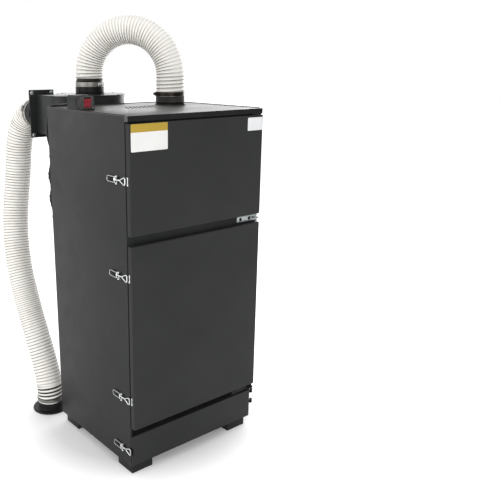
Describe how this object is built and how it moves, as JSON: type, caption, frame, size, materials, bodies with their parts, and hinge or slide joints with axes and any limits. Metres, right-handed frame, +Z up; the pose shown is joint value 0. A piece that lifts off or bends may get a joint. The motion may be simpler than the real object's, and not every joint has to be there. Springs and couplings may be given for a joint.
{
  "type": "dust extractor",
  "caption": "Tall sheet-steel dust extractor cabinet with two latched doors, a floor hatch, a rear scroll fan, an arched hose over the roof and a hanging outlet hose.",
  "frame": {"origin": "on the floor, in the middle of the box round the whole object without its outlet hose; that is the middle of the cabinet's width", "axes": "+X to the right as seen from the doors, +Y from the doors to the fan, +Z up"},
  "size_m": [0.636, 0.9428, 1.5577],
  "materials": {
    "powder_coat": "satin",
    "frame_black": "satin",
    "collar_black": "satin",
    "hose_film": "satin",
    "clamp_steel": "brushed",
    "zinc": "satin",
    "motor_black": "satin",
    "switch_black": "matt",
    "rocker_red": "gloss",
    "cable_black": "matt",
    "latch_chrome": "polished",
    "plate_white": "gloss"
  },
  "bodies": {
    "cabinet": {"left_wall": "powder_coat", "right_wall": "powder_coat", "rear_wall": "powder_coat", "roof": "powder_coat", "floor_plate": "powder_coat", "front_stiles": "frame_black", "front_rails": "frame_black", "feet": "frame_black", "roof_collar": "collar_black", "arch_hose": "hose_film", "arch_clamps": "clamp_steel", "fan_housing": "powder_coat", "fan_inlet_collar": "collar_black", "duct_flange": "frame_black", "outlet_adapter": "frame_black", "outlet_clamp": "clamp_steel", "flange_bolts": "zinc", "fan_bracket": "frame_black", "motor": "motor_black", "motor_cowl": "motor_black", "terminal_box": "motor_black", "outlet_hose": "hose_film", "hose_end_flange": "collar_black", "hose_end_clamp": "clamp_steel", "switch_box": "switch_black", "switch_bezel": "switch_black", "motor_cable": "cable_black", "cable_clips": "switch_black", "latch_bases": "latch_chrome", "middle_hinge": "zinc", "lower_hinge": "frame_black", "top_hinge": "frame_black", "hatch_hinge": "frame_black"},
    "upper_door": {"upper_door": "powder_coat", "upper_catch": "latch_chrome", "large_plate": "plate_white", "small_plate": "plate_white"},
    "lower_door": {"lower_door": "powder_coat", "lower_catches": "latch_chrome"},
    "hatch": {"hatch": "powder_coat", "hatch_catch": "latch_chrome"},
    "rocker": {"power_rocker": "rocker_red"},
    "lever_1": {"lever_1": "latch_chrome"},
    "bail_1": {"bail_1": "latch_chrome"},
    "lever_2": {"lever_2": "latch_chrome"},
    "bail_2": {"bail_2": "latch_chrome"},
    "lever_3": {"lever_3": "latch_chrome"},
    "bail_3": {"bail_3": "latch_chrome"},
    "lever_4": {"lever_4": "latch_chrome"},
    "bail_4": {"bail_4": "latch_chrome"}
  },
  "joints": [
    {"name": "upper_door_hinge", "type": "hinge", "parent": "cabinet", "child": "upper_door", "pos_m": [0.2745, -0.3805, 1.0405], "axis": [0, 0, 1], "range_deg": [0, 110]},
    {"name": "lower_door_hinge", "type": "hinge", "parent": "cabinet", "child": "lower_door", "pos_m": [0.2745, -0.3805, 0.512], "axis": [0, 0, 1], "range_deg": [0, 110]},
    {"name": "hatch_hinge", "type": "hinge", "parent": "cabinet", "child": "hatch", "pos_m": [0.2895, -0.3695, 0.102], "axis": [0, 0, 1], "range_deg": [0, 110]},
    {"name": "rocker_tilt", "type": "hinge", "parent": "cabinet", "child": "rocker", "pos_m": [-0.2415, -0.0765, 1.261], "axis": [1, 0, 0], "range_deg": [-18, 0]},
    {"name": "lever_1_swing", "type": "hinge", "parent": "cabinet", "child": "lever_1", "pos_m": [-0.2895, -0.3275, 1.0405], "axis": [0, 0, 1], "range_deg": [0, 120]},
    {"name": "bail_1_swing", "type": "hinge", "parent": "lever_1", "child": "bail_1", "pos_m": [-0.2883, -0.3155, 1.0405], "axis": [0, 0, 1], "range_deg": [-144, 0]},
    {"name": "lever_2_swing", "type": "hinge", "parent": "cabinet", "child": "lever_2", "pos_m": [-0.2895, -0.3275, 0.729], "axis": [0, 0, 1], "range_deg": [0, 120]},
    {"name": "bail_2_swing", "type": "hinge", "parent": "lever_2", "child": "bail_2", "pos_m": [-0.2883, -0.3155, 0.729], "axis": [0, 0, 1], "range_deg": [-144, 0]},
    {"name": "lever_3_swing", "type": "hinge", "parent": "cabinet", "child": "lever_3", "pos_m": [-0.2895, -0.3275, 0.295], "axis": [0, 0, 1], "range_deg": [0, 120]},
    {"name": "bail_3_swing", "type": "hinge", "parent": "lever_3", "child": "bail_3", "pos_m": [-0.2883, -0.3155, 0.295], "axis": [0, 0, 1], "range_deg": [-144, 0]},
    {"name": "lever_4_swing", "type": "hinge", "parent": "cabinet", "child": "lever_4", "pos_m": [-0.2895, -0.3275, 0.101], "axis": [0, 0, 1], "range_deg": [0, 120]},
    {"name": "bail_4_swing", "type": "hinge", "parent": "lever_4", "child": "bail_4", "pos_m": [-0.2883, -0.3155, 0.101], "axis": [0, 0, 1], "range_deg": [-144, 0]}
  ],
  "couplings": [
    {"joint": "bail_1_swing", "follows": "lever_1_swing", "ratio": -1.2},
    {"joint": "bail_2_swing", "follows": "lever_2_swing", "ratio": -1.2},
    {"joint": "bail_3_swing", "follows": "lever_3_swing", "ratio": -1.2},
    {"joint": "bail_4_swing", "follows": "lever_4_swing", "ratio": -1.2}
  ]
}
